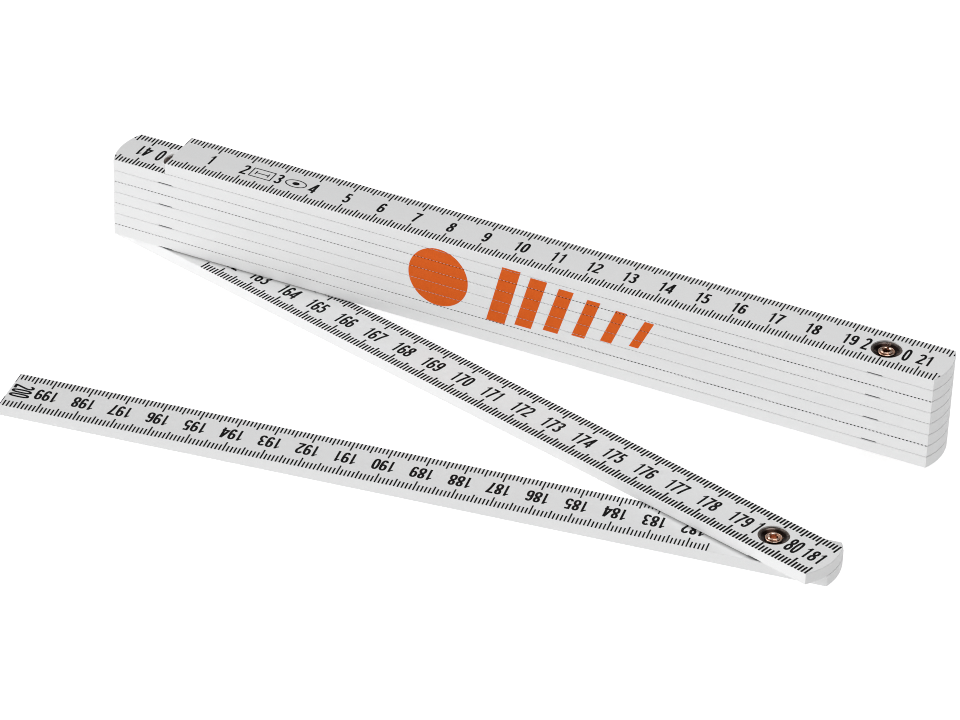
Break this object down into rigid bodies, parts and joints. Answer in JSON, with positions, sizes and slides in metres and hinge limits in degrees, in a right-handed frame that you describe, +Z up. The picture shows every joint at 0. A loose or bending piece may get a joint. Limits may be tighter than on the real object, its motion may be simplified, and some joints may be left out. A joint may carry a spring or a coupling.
{
  "type": "folding rule",
  "caption": "Metric folding rule of flat white plastic links riveted end to end in a zigzag, partly unfolded, with recessed hollow copper rivets.",
  "frame": {"origin": "the middle of the first link's square zero end face, where every measurement starts; the folded pack's left-hand hinge axis passes through it", "axes": "+X along the folded pack to its other hinge axis, +Y towards the far side from the two links that are swung out, +Z up along the hinge axes, towards the scale face of the first link"},
  "size_m": [0.2344, 0.099, 0.0329],
  "materials": {
    "link_plastic": "satin moulded, fine grain, white",
    "rivet_copper": "bright rolled copper-plated brass",
    "washer_bronze": "dark burnished, semi-gloss",
    "plate_steel": "blued spring steel"
  },
  "bodies": {
    "link_1_body": {"link_1": "link_plastic", "rivet_1": "rivet_copper", "top_washer_1": "washer_bronze", "spring_plate_1": "plate_steel"},
    "link_2_body": {"link_2": "link_plastic", "rivet_2": "rivet_copper", "top_washer_2": "washer_bronze", "spring_plate_2": "plate_steel", "bottom_washer_1": "washer_bronze", "detent_plate_1": "plate_steel"},
    "link_3_body": {"link_3": "link_plastic", "rivet_3": "rivet_copper", "top_washer_3": "washer_bronze", "spring_plate_3": "plate_steel", "bottom_washer_2": "washer_bronze", "detent_plate_2": "plate_steel"},
    "link_4_body": {"link_4": "link_plastic", "rivet_4": "rivet_copper", "top_washer_4": "washer_bronze", "spring_plate_4": "plate_steel", "bottom_washer_3": "washer_bronze", "detent_plate_3": "plate_steel"},
    "link_5_body": {"link_5": "link_plastic", "rivet_5": "rivet_copper", "top_washer_5": "washer_bronze", "spring_plate_5": "plate_steel", "bottom_washer_4": "washer_bronze", "detent_plate_4": "plate_steel"},
    "link_6_body": {"link_6": "link_plastic", "rivet_6": "rivet_copper", "top_washer_6": "washer_bronze", "spring_plate_6": "plate_steel", "bottom_washer_5": "washer_bronze", "detent_plate_5": "plate_steel"},
    "link_7_body": {"link_7": "link_plastic", "rivet_7": "rivet_copper", "top_washer_7": "washer_bronze", "spring_plate_7": "plate_steel", "bottom_washer_6": "washer_bronze", "detent_plate_6": "plate_steel"},
    "link_8_body": {"link_8": "link_plastic", "rivet_8": "rivet_copper", "top_washer_8": "washer_bronze", "spring_plate_8": "plate_steel", "bottom_washer_7": "washer_bronze", "detent_plate_7": "plate_steel"},
    "link_9_body": {"link_9": "link_plastic", "rivet_9": "rivet_copper", "top_washer_9": "washer_bronze", "spring_plate_9": "plate_steel", "bottom_washer_8": "washer_bronze", "detent_plate_8": "plate_steel"},
    "link_10_body": {"link_10": "link_plastic", "bottom_washer_9": "washer_bronze", "detent_plate_9": "plate_steel"}
  },
  "joints": [
    {"name": "hinge_1", "type": "hinge", "parent": "link_1_body", "child": "link_2_body", "pos_m": [0.2, 0, -0.00163], "axis": [0, 0, 1], "range_deg": [0, 180]},
    {"name": "hinge_2", "type": "hinge", "parent": "link_2_body", "child": "link_3_body", "pos_m": [0, 0, -0.00493], "axis": [0, 0, -1], "range_deg": [0, 180]},
    {"name": "hinge_3", "type": "hinge", "parent": "link_3_body", "child": "link_4_body", "pos_m": [0.2, 0, -0.00823], "axis": [0, 0, 1], "range_deg": [0, 180]},
    {"name": "hinge_4", "type": "hinge", "parent": "link_4_body", "child": "link_5_body", "pos_m": [0, 0, -0.01153], "axis": [0, 0, -1], "range_deg": [0, 180]},
    {"name": "hinge_5", "type": "hinge", "parent": "link_5_body", "child": "link_6_body", "pos_m": [0.2, 0, -0.01483], "axis": [0, 0, 1], "range_deg": [0, 180]},
    {"name": "hinge_6", "type": "hinge", "parent": "link_6_body", "child": "link_7_body", "pos_m": [0, 0, -0.01813], "axis": [0, 0, -1], "range_deg": [0, 180]},
    {"name": "hinge_7", "type": "hinge", "parent": "link_7_body", "child": "link_8_body", "pos_m": [0.2, 0, -0.02143], "axis": [0, 0, 1], "range_deg": [0, 180]},
    {"name": "hinge_8", "type": "hinge", "parent": "link_8_body", "child": "link_9_body", "pos_m": [0, 0, -0.02473], "axis": [0, 0, -1], "range_deg": [-15, 165]},
    {"name": "hinge_9", "type": "hinge", "parent": "link_9_body", "child": "link_10_body", "pos_m": [0.19318, -0.05176, -0.02803], "axis": [0, 0, 1], "range_deg": [-23.2, 156.8]}
  ]
}
